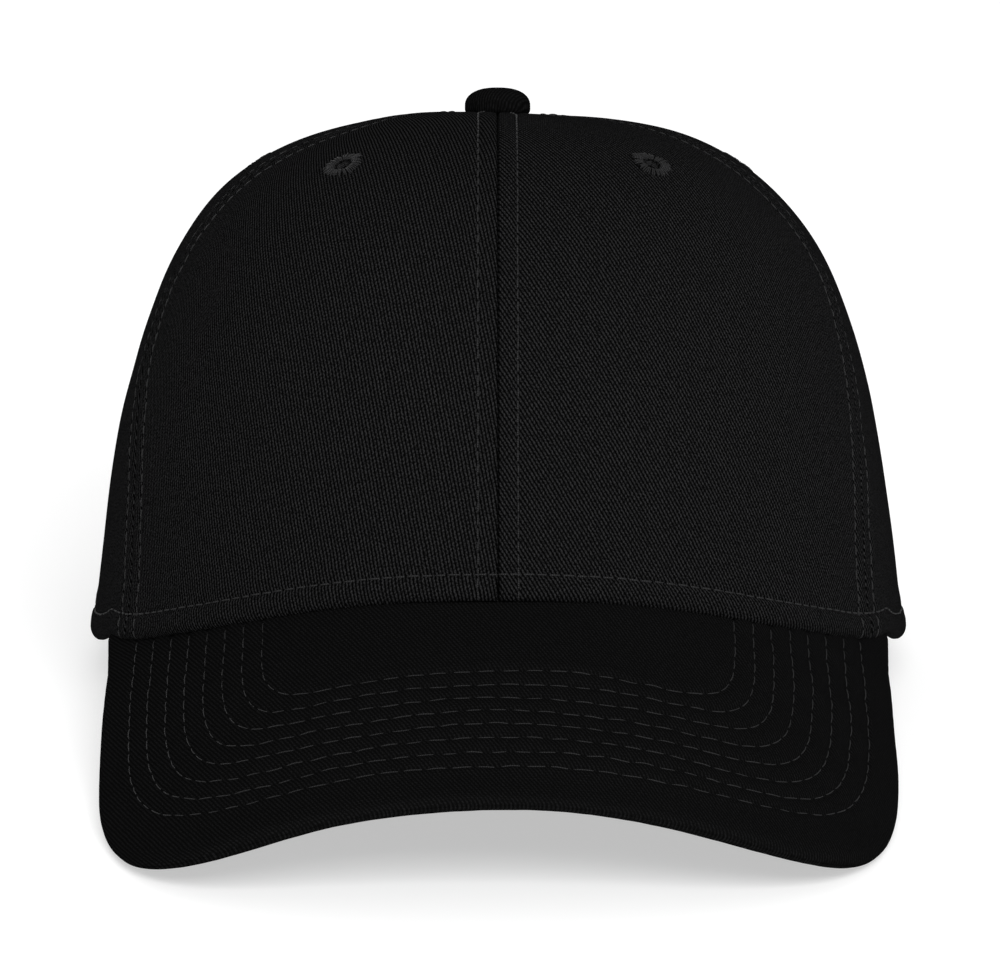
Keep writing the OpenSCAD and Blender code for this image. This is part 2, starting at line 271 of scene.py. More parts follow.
def wall(az, height, depth):
    """Point of the lower wall at a height above the hem."""
    az, height, depth = np.broadcast_arrays(az, height, depth)
    rise = rise_of(az, height)
    n = fullness(az)
    return crown_at(az, (1 - np.abs(rise) ** n) ** (1 / n), rise, depth)


def seam_az(seam, up):
    if seam == 1:
        high = np.degrees(up)
        return np.radians(60 + 10 * bump(high, 38, 20) - 4 * bump(high, 62, 12))
    if seam == 2:
        return np.radians(120 + 3 * np.sin(2 * up))
    return np.full_like(up, math.radians(60 * seam))


def panel_az(seam, across, up):
    return blend(seam_az(seam, up), seam_az(seam + 1, up), across)


def column_start(seam, across):
    """Lower end of a panel's column: the hem, or the edge of the back opening."""
    zero = np.zeros_like(across)
    if seam < 2:
        return zero
    az = panel_az(seam, across, zero)
    off = np.clip((np.pi - az) / OPENING_HALF, 0, 1)
    rise = rise_of(az, OPENING_HEIGHT * np.sqrt(1 - off**2))
    return np.where(off < 1, np.arctan2(rise, (1 - rise ** fullness(az)) ** (1 / fullness(az))), 0)


def visor(across, out, below):
    """Point of the visor at a distance across and out, and at a depth below its top face."""
    tilt = droop_tilt(across)
    drop = droop(across) + below * np.cos(tilt)
    x = across - below * np.sin(tilt)
    y = -FRONT_REACH - out * math.cos(VISOR_SLOPE) + drop * math.sin(VISOR_SLOPE)
    z = FRONT_RISE - out * math.sin(VISOR_SLOPE) - drop * math.cos(VISOR_SLOPE) - end_drop(out)
    return columns(x, y, z)


def visor_up(across):
    """Direction straight out of the visor's top face."""
    tilt = droop_tilt(across)
    tall = np.cos(tilt)
    return columns(np.sin(tilt), -math.sin(VISOR_SLOPE) * tall, math.cos(VISOR_SLOPE) * tall)


def visor_girth(across):
    """Distance from the middle of the visor, measured along the bent cloth."""
    x = np.linspace(0, 90, 361)
    run = np.concatenate([[0], np.cumsum(np.hypot(np.diff(x), np.diff(droop(x))))])
    return np.sign(across) * np.interp(np.abs(across), x, run)


def visor_outline(t, inset_front, inset_side):
    """Outer edge for t from 0 at the middle to 1 at the visor's end."""
    turn = np.pi / 2 * np.clip(t / VISOR_FRONT_SHARE, 0, 1)
    k = section(turn, VISOR_CORNER)
    across = (VISOR_HALF_SPAN - inset_side) * np.sin(turn) * k
    out = VISOR_SHOULDER + (VISOR_DEPTH - VISOR_SHOULDER - inset_front) * np.cos(turn) * k
    end_across, end_out = visor_flat(*hem_xy(VISOR_END, inset_side - 1.2))
    tail = np.clip((t - VISOR_FRONT_SHARE) / (1 - VISOR_FRONT_SHARE), 0, 1)
    across = np.where(tail > 0, blend(VISOR_HALF_SPAN - inset_side, end_across, tail), across)
    return across, np.where(tail > 0, blend(VISOR_SHOULDER, end_out, tail), out)


EDGE_ROW = -FRONT_MARGIN / ROW_SPACING


def row_insets(row):
    """Insets of a stitch row from the front and from the sides; EDGE_ROW is the edge."""
    beyond = np.minimum(row, 0) / EDGE_ROW
    inner = np.maximum(row, 0)
    front = FRONT_MARGIN * (1 - beyond) + ROW_SPACING * inner
    return front, SIDE_MARGIN * (1 - beyond) + SIDE_SPACING * inner


def row_corner(row):
    """How square a row's corners are; the inner rows turn more sharply."""
    return VISOR_CORNER + 0.4 * np.maximum(row, 0)


def row_number(across, out):
    """Which row of stitching a flat point of the visor lies on, as a real number."""
    low = np.full(np.shape(across), EDGE_ROW - 0.5)
    high = np.full(np.shape(across), 13.0)
    for _ in range(26):
        mid = (low + high) / 2
        front, side = row_insets(mid)
        wide = np.abs(across) / (VISOR_HALF_SPAN - side)
        deep = np.maximum(out - VISOR_SHOULDER, 0) / (VISOR_DEPTH - VISOR_SHOULDER - front)
        corner = row_corner(mid)
        outside = wide**corner + deep**corner > 1
        high = np.where(outside, mid, high)
        low = np.where(outside, low, mid)
    return (low + high) / 2


def sway(points, up):
    """How far the soft wall of the crown stands off its plain shape; less near the hem."""
    free = 0.35 + 0.65 * ease(up / math.radians(40))
    return (0.3 * SOFT(points) + 0.1 * DENT(points)) * free


# --- Meshes from grids and tubes ---


def weld(mesh):
    """Joins points that lie on each other, so that swept bands close."""
    cloth = bmesh.new()
    cloth.from_mesh(mesh)
    bmesh.ops.remove_doubles(cloth, verts=cloth.verts, dist=2e-6)
    cloth.to_mesh(mesh)
    cloth.free()


def listed(*grids):
    """The points of several grids, or their UVs, in one list."""
    return np.concatenate([grid.reshape(-1, grid.shape[-1]) for grid in grids])


def show(obj):
    bpy.context.scene.collection.objects.link(obj)
    return obj


def make_mesh(name, points, faces, uv, closed=False):
    """A mesh object from points in the cap's frame, quads and corner UVs in millimetres."""
    mesh = bpy.data.meshes.new(name)
    verts = to_row(points)
    faces = np.asarray(faces, np.int32)
    sides = faces.shape[1]
    mesh.vertices.add(len(verts))
    mesh.vertices.foreach_set("co", verts.astype(np.float32).ravel())
    mesh.loops.add(faces.size)
    mesh.loops.foreach_set("vertex_index", faces.ravel())
    mesh.polygons.add(len(faces))
    mesh.polygons.foreach_set("loop_start", np.arange(0, faces.size, sides, dtype=np.int32))
    mesh.polygons.foreach_set("use_smooth", np.ones(len(faces), bool))
    layer = mesh.uv_layers.new(name="cloth")
    layer.data.foreach_set("uv", np.asarray(uv, np.float32)[faces.ravel()].ravel())
    mesh.update()
    mesh.validate()
    if closed:
        weld(mesh)
    return show(bpy.data.objects.new(name, mesh))


def grid_faces(rows, cols, base=0, flip=False):
    i, j = np.mgrid[0 : rows - 1, 0 : cols - 1]
    a = (base + i * cols + j).ravel()
    quads = np.stack([a, a + 1, a + cols + 1, a + cols], -1)
    return quads[:, ::-1] if flip else quads


def rim_faces(rows, cols, flip=False):
    """Quads that join the edge of one grid to the edge of a second grid after it."""
    ring = np.concatenate(
        [
            np.arange(cols),
            np.arange(1, rows) * cols + cols - 1,
            np.arange(cols - 2, -1, -1) + (rows - 1) * cols,
            np.arange(rows - 2, 0, -1) * cols,
        ]
    )
    after = np.roll(ring, -1)
    half = rows * cols
    quads = np.stack([after, ring, ring + half, after + half], -1)
    return quads[:, ::-1] if flip else quads


def cloth_shell(name, outer, inner, uv, flip=False, hole=None):
    """A closed sheet of cloth between two grids; the hole is a centre and a radius."""
    rows, cols = outer.shape[:2]
    points = listed(outer, inner)
    faces = np.concatenate(
        [
            grid_faces(rows, cols, 0, flip),
            grid_faces(rows, cols, rows * cols, not flip),
            rim_faces(rows, cols, flip),
        ]
    )
    if hole:
        centre, radius = hole
        faces = faces[np.linalg.norm(points[faces].mean(1) - centre, axis=1) > radius]
    return make_mesh(name, points, faces, listed(uv, uv))


def sided_shell(name, outer, inner, uv, side, hole=None):
    """The sheet of a piece of the left half, or for side -1 its mirror image."""
    if hole:
        hole = (mirrored(hole[0], side), hole[1])
    uv = uv * np.array([side, 1])
    return cloth_shell(name, mirrored(outer, side), mirrored(inner, side), uv, side < 0, hole)


def tubes(name, paths, lifts, radius, sides=6):
    """Many short threads as one mesh: paths (n, k, 3), lifts the outward direction at each point."""
    n, k = paths.shape[:2]
    along = unit(np.gradient(paths, axis=1))
    across = unit(np.cross(along, lifts))
    up = np.cross(across, along)
    taper = np.ones(k)
    taper[[0, -1]] = 0.45
    thick = np.broadcast_to(radius, (n,))[:, None] * taper
    angle = np.arange(sides) * 2 * np.pi / sides
    ring = across[:, :, None] * np.cos(angle)[:, None] + up[:, :, None] * np.sin(angle)[:, None]
    points = paths[:, :, None] + ring * thick[:, :, None, None]
    tube = np.arange(n)[:, None, None] * k * sides
    step = np.arange(k - 1)[None, :, None] * sides
    turn = np.arange(sides)[None, None, :]
    after = (turn + 1) % sides
    quads = np.stack([tube + step + turn, tube + step + after], -1)
    quads = np.concatenate([quads, quads[..., ::-1] + sides], -1).reshape(-1, 4)
    length = np.pad(np.cumsum(np.linalg.norm(np.diff(paths, axis=1), axis=-1), 1), [(0, 0), (1, 0)])
    girth = 2 * np.pi * np.mean(radius)
    uv = columns(turn / sides * girth, length[:, :, None])
    return make_mesh(name, listed(points), quads, listed(uv))


def sew(path, up, pitch, rng, height=0.1, dip=0.34, tick=0.0, gap=0.1, points=7):
    """Stitches along a line on cloth: each rises out of one hole and sinks in the next."""
    run = arc_lengths(path[None], 1)[0]
    count = max(int(round(run[-1] / pitch)), 1)
    marks = (np.arange(count + 1) + np.pad(rng.uniform(-0.05, 0.05, count - 1), 1)) / count * run[-1]
    start, end = marks[:-1, None], marks[1:, None]
    t = np.linspace(0, 1, points)[None]
    where = blend(start + gap * pitch / 2, end - gap * pitch / 2, t)
    at = np.stack([np.interp(where, run, path[:, i]) for i in range(3)], -1)
    lift = unit(np.stack([np.interp(where, run, up[:, i]) for i in range(3)], -1))
    along = unit(at[:, -1:] - at[:, :1])
    sideways = np.cross(along, lift)
    arch = np.sin(np.pi * t) ** 0.5
    rise = blend(-dip, height, arch) + rng.uniform(-0.03, 0.03, (count, 1))
    shift = tick * (1 - np.sin(np.pi * t) ** 0.35) + rng.uniform(-0.05, 0.05, (count, 1))
    return at + lift * rise[..., None] + sideways * shift[..., None], lift


class Thread:
    """Collects stitches, so that all those of one kind become one piece."""

    def __init__(self, name, seed, radius):
        self.name = name
        self.rng = np.random.default_rng(seed)
        self.radius = radius
        self.paths = []
        self.lifts = []

    def row(self, path, up, pitch, **how):
        at, lift = sew(np.asarray(path, float), np.asarray(up, float), pitch, self.rng, **how)
        self.paths.append(at)
        self.lifts.append(lift)

    def build(self):
        paths, lifts = np.concatenate(self.paths), np.concatenate(self.lifts)
        radius = self.radius * self.rng.uniform(0.9, 1.1, len(paths))
        dress(tubes(self.name, paths, lifts, radius), THREAD, "eyelet_thread")


# --- Materials ---


class Shader:
    """Short forms for building a node material."""

    def __init__(self, name):
        self.material = bpy.data.materials.new(name)
        self.material.use_nodes = True
        self.tree = self.material.node_tree
        self.surface = self.tree.nodes["Principled BSDF"]

    def put(self, sockets, values):
        """Links or sets several sockets, given by name or by number."""
        for key, value in values.items():
            if isinstance(value, (int, float, tuple)):
                sockets[key].default_value = value
            else:
                self.tree.links.new(value, sockets[key])

    def add(self, kind, values, **settings):
        made = self.tree.nodes.new(kind)
        for key, value in settings.items():
            setattr(made, key, value)
        self.put(made.inputs, values)
        return made

    def math(self, operation, *values):
        return self.add("ShaderNodeMath", dict(enumerate(values)), operation=operation).outputs[0]

    def noise(self, vector, scale, detail=2.0):
        values = {"Vector": vector, "Scale": scale, "Detail": detail}
        return self.add("ShaderNodeTexNoise", values).outputs["Fac"]

    def ramp(self, *values):
        """A smooth step: the value, its low and high ends, and what they become."""
        kind = "ShaderNodeMapRange"
        return self.add(kind, dict(enumerate(values)), interpolation_type="SMOOTHSTEP").outputs[0]

    def colour(self, share, dark, light):
        values = {"Factor": share, "A": (*dark, 1), "B": (*light, 1)}
        return self.add("ShaderNodeMix", values, data_type="RGBA").outputs["Result"]

    def relief(self, height, depth, strength=0.8):
        values = {"Strength": strength, "Distance": depth, "Height": height}
        bumps = self.add("ShaderNodeBump", values)
        self.put(self.surface.inputs, {"Normal": bumps.outputs["Normal"]})

    def finish(self, colour, roughness, sheen=0.0, sheen_rough=0.5, specular=0.3, metallic=0.0):
        values = {
            "Base Color": colour,
            "Roughness": roughness,
            "Sheen Weight": sheen,
            "Sheen Roughness": sheen_rough,
            "Specular IOR Level": specular,
            "Metallic": metallic,
        }
        self.put(self.surface.inputs, values)
        return self.material


def cloth_axes(s, angle):
    """The cloth's own axes, in millimetres: across the diagonal and along it."""
    uv = s.add("ShaderNodeUVMap", {}, uv_map="cloth").outputs[0]
    x, y = s.add("ShaderNodeSeparateXYZ", {0: uv}).outputs[:2]
    c, n = math.cos(angle), math.sin(angle)
    along = s.math("ADD", s.math("MULTIPLY", x, c), s.math("MULTIPLY", y, n))
    across = s.math("SUBTRACT", s.math("MULTIPLY", y, c), s.math("MULTIPLY", x, n))
    return uv, across, along


def wave(s, value):
    """A wave from 0 to 1 that repeats once a unit."""
    turned = s.math("COSINE", s.math("MULTIPLY", value, 2 * math.pi))
    return s.math("MULTIPLY_ADD", turned, 0.5, 0.5)


def twill_cloth(name, diagonal, dark=0.0005, light=0.024):
    """Cotton twill whose ribs run at an angle, in degrees, from the piece's width, with painted shade
    in the gaps between ribs and painted sheen on the rib crowns.
    """
    s = Shader(name)
    uv, across, along = cloth_axes(s, math.radians(diagonal))
    wander = s.math("MULTIPLY", s.math("SUBTRACT", s.noise(uv, 0.3, 2.0), 0.5), 0.45)
    ribs = s.math("ADD", s.math("DIVIDE", across, WALE), wander)
    rib = s.math("POWER", wave(s, ribs), 0.8)
    stagger = s.math("MULTIPLY", s.math("FLOOR", ribs), 0.37)
    floats = wave(s, s.math("ADD", s.math("DIVIDE", along, 0.92), stagger))
    slub = s.noise(uv, 0.7, 4.0)
    speck = s.noise(uv, 2.6, 3.0)
    height = s.math("MULTIPLY", rib, s.math("MULTIPLY_ADD", floats, 0.5, 0.5))
    height = s.math("MULTIPLY", height, s.math("MULTIPLY_ADD", slub, 0.8, 0.6))
    # Painted light: the colour runs from dark in the rib gaps, a painted shade, to light on the rib
    # crowns, a painted sheen; the speck noise adds a random tone.
    shade = s.math("MULTIPLY", s.math("POWER", height, 1.4), s.ramp(speck, 0.35, 0.68, 0.3, 1.6))
    s.relief(s.math("MULTIPLY_ADD", speck, 0.25, height), 0.0002)
    colour = s.colour(shade, (dark, dark, dark), (light, light, light * 1.03))
    return s.finish(colour, s.ramp(height, 0.2, 1.0, 1.0, 0.9), specular=0.0)


def woven_cloth(name, dark, light, thread=0.55, sheen=0.015, relief=0.00012):
    """Plain weave: two crossed sets of threads."""
    s = Shader(name)
    uv, across, along = cloth_axes(s, 0.0)
    wander = s.math("MULTIPLY", s.math("SUBTRACT", s.noise(uv, 0.5, 3.0), 0.5), 0.5)
    first = wave(s, s.math("ADD", s.math("DIVIDE", across, thread), wander))
    second = wave(s, s.math("ADD", s.math("DIVIDE", along, thread), wander))
    over = s.math("MULTIPLY", first, second)
    under = s.math("MULTIPLY", s.math("SUBTRACT", 1.0, first), s.math("SUBTRACT", 1.0, second))
    height = s.math("ADD", over, under)
    # Painted shade: the colour is darker where the weave lies low between the raised crossings; the
    # noise adds a random tone.
    shade = s.math("MULTIPLY", height, s.ramp(s.noise(uv, 2.0, 3.0), 0.3, 0.7, 0.6, 1.2))
    s.relief(height, relief)
    return s.finish(s.colour(shade, dark, light), 0.85, sheen, 0.4, 0.08)


def thread_with_painted_sheen(name, dark, light):
    """Twisted sewing thread: slanting plies along its length, with painted sheen on the ply crowns
    and painted shade between them.
    """
    s = Shader(name)
    uv, across, along = cloth_axes(s, 0.0)
    plies = wave(s, s.math("ADD", s.math("DIVIDE", across, 0.34), s.math("DIVIDE", along, 1.2)))
    s.relief(plies, 0.00006)
    shade = s.math("MULTIPLY", plies, s.ramp(s.noise(uv, 4.0, 3.0), 0.3, 0.7, 0.6, 1.2))
    return s.finish(s.colour(shade, dark, light), 0.6, specular=0.05)


def metal_finish(name, shade, rough):
    """Plated steel with fine brushing along the part and a few dull spots."""
    s = Shader(name)
    place = s.add("ShaderNodeTexCoord", {}).outputs["Object"]
    stretch = s.add("ShaderNodeMapping", {"Vector": place, "Scale": (3000, 3000, 180)})
    grain = s.noise(stretch.outputs[0], 1.0)
    wear = s.noise(place, 260.0, 4.0)
    s.relief(grain, 0.00003, 0.3)
    rough_now = s.ramp(wear, 0.35, 0.7, rough, rough + 0.16)
    colour = s.colour(s.ramp(wear, 0.4, 0.75, 0.0, 1.0), shade, tuple(c * 0.72 for c in shade))
    return s.finish(colour, rough_now, metallic=1.0, specular=0.5)


def plastic_finish(name, shade):
    s = Shader(name)
    grain = s.noise(s.add("ShaderNodeTexCoord", {}).outputs["Object"], 900.0, 3.0)
    s.relief(grain, 0.00004, 0.4)
    colour = s.colour(s.ramp(grain, 0.3, 0.7, 0.0, 1.0), shade, tuple(c * 0.9 for c in shade))
    return s.finish(colour, 0.55, specular=0.4)


SIDE_NAME = {1: "left", -1: "right"}
PANEL_NAME = ["front", "side", "back"]
DIAGONALS = {1: (121, 112, 122), -1: (101, 118, 108)}
# Each twill's dark and light ends are the painted shade of its rib gaps and the painted sheen of its
# rib crowns.
TWILL_OF = {
    (panel, side): twill_cloth(f"twill_{PANEL_NAME[panel]}_{SIDE_NAME[side]}", angle)
    for side, angles in DIAGONALS.items()
    for panel, angle in enumerate(angles)
}
# Painted shade: the visor's twill is a darker, lower-contrast copy of the crown's cloth; the visor
# covers and the top button share it.
VISOR_TWILL = twill_cloth("twill_visor", 63, 0.0024, 0.0085)
TRIM_TWILL = twill_cloth("twill_trim", 45, 0.0015, 0.012)
BAND_CLOTH = woven_cloth("sweatband_weave", (0.002, 0.002, 0.002), (0.016, 0.016, 0.017))
TAPE_CLOTH = woven_cloth("tape_weave", (0.002, 0.002, 0.002), (0.018, 0.018, 0.019), 0.8)
BUCKRAM_CLOTH = woven_cloth("buckram_weave", (0.12, 0.12, 0.11), (0.62, 0.61, 0.57), 1.6, 0.0, 0.0003)
LABEL_CLOTH = woven_cloth("label_satin", (0.55, 0.55, 0.53), (0.8, 0.8, 0.78), 0.3, 0.3)
# The threads' colours are set lighter than the cloth's as a painted sheen.
THREAD = thread_with_painted_sheen("black_thread", (0.007, 0.007, 0.007), (0.036, 0.036, 0.037))
EYELET_THREAD = thread_with_painted_sheen("eyelet_thread", (0.002, 0.002, 0.002), (0.034, 0.034, 0.035))
BUCKLE_METAL = metal_finish("buckle_metal", (0.5, 0.49, 0.47), 0.24)
BUTTON_METAL = metal_finish("button_metal", (0.55, 0.55, 0.56), 0.35)
BOARD_PLASTIC = plastic_finish("visor_board", (0.75, 0.75, 0.72))


def dress(obj, material, record_slot, *nodes):
    """Gives a piece its material and sets it riding on the cap; record_slot, its place in the table,
    is not used.
    """
    obj.data.materials.clear()
    obj.data.materials.append(material)
    if nodes:
        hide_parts(*nodes)
    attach(obj, "cap")
    return obj


# --- Crown panels ---

SEAM_SAMPLES = np.array(
    [0, 0.14, 0.3, 0.48, 0.7, 1.0, 1.4, 1.9, 2.5, 3.1, 3.55, 3.9, 4.2, 4.5, 4.85, 5.4, 6.2, 7.2, 8.4]
)
STITCH_SAMPLE = int(np.argmin(abs(SEAM_SAMPLES - SEAM_STITCH)))
HEM_SAMPLES = np.array(
    [0, 0.12, 0.3, 0.55, 0.85, 1.25, 1.8, 2.5, 3.3, 4.0, 4.6, 5.0, 5.3, 5.6, 5.9, 6.3, 7.0, 8.2, 9.6]
)
BODY_STEP = 1.25
EYELETS = [(0.53, 51.3), (0.6, 53), (0.45, 54)]


def seam_profile(s):
    """Height of the cloth near a seam: a closed groove, a soft ridge, a sewn-down line."""
    return (
        -0.85 * bump(s, 0, 0.24)
        + 0.2 * bump(s, 2.0, 1.35)
        - 0.24 * bump(s, SEAM_STITCH, 0.5)
        + 0.08 * bump(s, 6.3, 1.5)
    )


def hem_profile(h):
    """Height of the cloth near its turned-up lower edge."""
    fold = 0.85 * (1 - ease((h - 3.0) / 4.5))
    line = -0.42 * bump(h, HEM_STITCH, 0.55)
    over = 0.16 * bump(h, 8.0, 1.8)
    roll = np.clip(1 - h / 2.2, 0, 1)
    return fold + line + over - 1.6 * (1 - np.sqrt(1 - roll**2 * 0.96))


def panel_grid(seam):
    """Grid of across and up values, finer along the seams and the hem, with its lengths."""
    coarse_u = np.linspace(0, 1, 61)
    coarse_v = np.linspace(0, 1, 121)

    def place(u, v):
        up = blend(column_start(seam, u), TOP_HOLE_UP, v)
        return crown(panel_az(seam, u, up), up, 0.0)

    middle = place(np.full_like(coarse_v, 0.4), coarse_v)
    run = arc_lengths(middle[None], 1)[0]
    body = np.arange(HEM_SAMPLES[-1] + BODY_STEP, run[-1] - 0.5, BODY_STEP)
    v = np.interp(np.concatenate([HEM_SAMPLES, body, run[-1:]]), run, coarse_v)
    rows = place(coarse_u[None, :], v[:, None])
    length = arc_lengths(rows, 1)
    us = []
    for row in length:
        width = row[-1]
        edge = SEAM_SAMPLES * min(1, 0.42 * width / SEAM_SAMPLES[-1])
        inner = np.linspace(edge[-1], width - edge[-1], 56)[1:-1]
        us.append(np.interp(np.concatenate([edge, inner, width - edge[::-1]]), row, coarse_u))
    u = np.array(us)
    v = np.broadcast_to(v[:, None], u.shape)
    return u, v, place


def eyelet_angles(seam):
    """Where a panel's eyelet is: round from the front and up from the hem."""
    across, up = EYELETS[seam]
    up = np.array(math.radians(up))
    return panel_az(seam, across, up), up


def build_panel(seam, side):
    u, v, place = panel_grid(seam)
    base = place(u, v)
    along, upward = np.gradient(base, axis=1), np.gradient(base, axis=0)
    normal = unit(np.cross(along, upward))
    s = arc_lengths(base, 1)
    h = arc_lengths(base, 0)
    width = s[:, -1:]
    seen = mirrored(base, side)
    near = np.minimum(s, width - s)
    lift = seam_profile(s) + seam_profile(width - s)
    lift += 0.07 * PUCKER(seen * np.array([0.25, 0.25, 1.3])) * bump(near, SEAM_STITCH + 1.0, 3.2)
    lift += hem_profile(h) * ease(near / 1.0 + 0.25)
    lift += 0.1 * PUCKER(seen * np.array([1.2, 1.2, 0.2])) * bump(h, HEM_STITCH + 0.6, 3.6)
    drift = sway(seen, blend(column_start(seam, u), TOP_HOLE_UP, v))
    outer = base + normal * (lift + drift)[..., None]
    inner = base + normal * (drift - TWILL)[..., None]
    uv = columns(s if seam == 0 else s - width / 2, h)
    name = f"{PANEL_NAME[seam]}_panel_{SIDE_NAME[side]}"
    hole = (crown(*eyelet_angles(seam), 0.3), EYELET_HOLE)
    obj = sided_shell(name + "_cloth", outer, inner, uv, side, hole)
    dress(obj, TWILL_OF[seam, side], "twill", name)
    return {
        "outer": mirrored(outer, side),
        "normal": mirrored(normal, side),
        "h": h,
        "width": width[:, 0],
    }


def at_height(panel, height):
    """Line across a panel at one distance from its lower edge, with its outward direction."""
    rows = np.array([np.interp(height, col, np.arange(len(col))) for col in panel["h"].T])
    low = np.floor(rows).astype(int)
    part = (rows - low)[:, None]
    cols = np.arange(len(rows))
    grids = (panel["outer"], panel["normal"])
    return [blend(grid[low, cols], grid[low + 1, cols], part) for grid in grids]


PANELS = {(seam, side): build_panel(seam, side) for seam in range(3) for side in (1, -1)}


def sew_crown():
    hem = Thread("hem_stitching", 11, 0.2)
    seams = Thread("seam_stitching", 12, 0.19)
    for panel in PANELS.values():
        hem.row(*at_height(panel, HEM_STITCH), 2.8)
        wide = panel["width"] > 13
        for column in (STITCH_SAMPLE, -1 - STITCH_SAMPLE):
            seams.row(panel["outer"][wide, column], panel["normal"][wide, column], 2.7, dip=0.24)
    hem.build()
    seams.build()


sew_crown()


# --- Eyelets and top button ---


def eyelet_place(seam, side):
    """Middle of an eyelet, and its own axes: right, top and out."""
    az, up = eyelet_angles(seam)
    tiny = math.radians(1)
    centre = mirrored(crown(az, up, 0), side)
    right = mirrored(unit(crown(az + tiny, up, 0) - crown(az - tiny, up, 0)), side)
    top = mirrored(unit(crown(az, up + tiny, 0) - crown(az, up - tiny, 0)), side)
    out = unit(np.cross(right, top)) * side
    return centre + out * float(sway(centre, up)), np.stack([right, top, out])


def satin_ring(seed, count=46):
    """Threads of one eyelet in its own plane: from the hole, over a rounded rim, to the cloth."""
    rng = np.random.default_rng(seed)
    turn = (np.arange(count) + rng.uniform(-0.25, 0.25, count)) * 2 * np.pi / count
    end = rng.uniform(3.9, 4.75, count) + 0.25 * np.sin(3 * turn + seed)
    t = np.linspace(0, 1, 9)
    reach_out = blend(1.35, end[:, None], t**0.85)
    height = -1.3 * (1 - ease(t / 0.22)) + 0.42 * np.sin(np.pi * np.clip(t, 0.04, 1)) ** 0.6 - 0.1 * t
    height = height[None] + rng.uniform(-0.06, 0.06, (count, 1))
    swirl = turn[:, None] + rng.uniform(-0.05, 0.05, (count, 1)) * t
    return columns(reach_out * np.cos(swirl), reach_out * np.sin(swirl), height)


def padding_ring():
    """The ring of padding under an eyelet's threads, in the eyelet's own plane."""
    turn = np.linspace(0, 2 * np.pi, 49)
    roll = np.linspace(0, 2 * np.pi, 13)[:, None]
    wide = 2.75 + 1.25 * np.cos(roll)
    return columns(wide * np.cos(turn), wide * np.sin(turn), 0.22 * np.sin(roll))


def build_eyelets():
    paths, lifts, pads, faces = [], [], [], []
    ring = padding_ring()
    rows, cols = ring.shape[:2]
    for number, (seam, side) in enumerate(PANELS):
        centre, axes = eyelet_place(seam, side)
        paths.append(satin_ring(20 + number) @ axes + centre)
        lifts.append(np.broadcast_to(axes[2], paths[-1].shape))
        pads.append(ring @ axes + centre)
        faces.append(grid_faces(rows, cols, number * rows * cols))
    radius = np.random.default_rng(30).uniform(0.15, 0.2, sum(map(len, paths)))
    threads = tubes("eyelet_embroidery", np.concatenate(paths), np.concatenate(lifts), radius)
    dress(threads, EYELET_THREAD, "eyelet_thread", "eyelets")
    pads = listed(*pads)
    core = make_mesh("eyelet_padding", pads, np.concatenate(faces), pads[:, [0, 2]])
    dress(core, TRIM_TWILL, "eyelet_thread")


build_eyelets()


def at_top(points):
    """Points set on the crown's sloping top."""
    return lean(points, TOP_SLOPE) + np.array([0, TOP_BACK, CROWN_HEIGHT])


def build_button():
    radius, rim, dome = 7.25, 2.4, 3.9
    turn = np.linspace(0, 2 * np.pi, 121)
    down = np.linspace(0.02, math.radians(176), 50)
    c, s = np.cos(down), np.sin(down)
    wide = radius * np.where(c > 0, s**0.82, s**0.5)
    z = rim + np.where(c > 0, dome * np.abs(c) ** 0.95, -(rim + 0.25) * np.abs(c) ** 0.5)
    pleat = ease((down - 1.35) / 0.9)[:, None] * (
        0.13 * np.cos(14 * turn + 0.6 * np.sin(3 * turn)) + 0.07 * np.cos(23 * turn + 1)
    )
    wide = wide[:, None] + pleat + 0.06 * np.sin(2 * turn + 1)
    grid = columns(wide * np.cos(turn), wide * np.sin(turn), z[:, None])
    uv = grid[..., :2] * (1 + 0.25 * (down / 1.6)[:, None, None] ** 2)
    faces = grid_faces(len(down), len(turn), flip=True)
    obj = make_mesh("top_button_cloth", at_top(listed(grid)), faces, listed(uv))
    dress(obj, VISOR_TWILL, "twill", "top_button_cover")


build_button()


# --- Visor ---


RIM = 1.5
COVER_INSIDE = 0.35


def visor_lift(across, out, top):
    """Height of the cover over the visor's plain face: sewn rows, soft ribs, a padded rim."""
    row = row_number(across, out)
    seen = columns(across, out, 40.0 if top else -40.0)
    nearest = np.clip(np.round(row), 0, ROWS_ON_VISOR - 1)
    off = (row - nearest) * ROW_SPACING
    inside = ease((row + 0.6) / 0.5) * (1 - ease((row - ROWS_ON_VISOR + 0.4) / 0.6))
    ribs = 0.12 * (0.5 - 0.5 * np.cos(2 * np.pi * row)) * inside
    rim = row - EDGE_ROW
    lift = ribs - 0.36 * bump(off, 0, 0.55)
    lift = lift + 0.16 * bump(rim * ROW_SPACING, 3.4, 2.6) + 0.16 * DENT(seen)
    return lift + 0.09 * PUCKER(seen) * inside + 0.02 * FINE(seen)


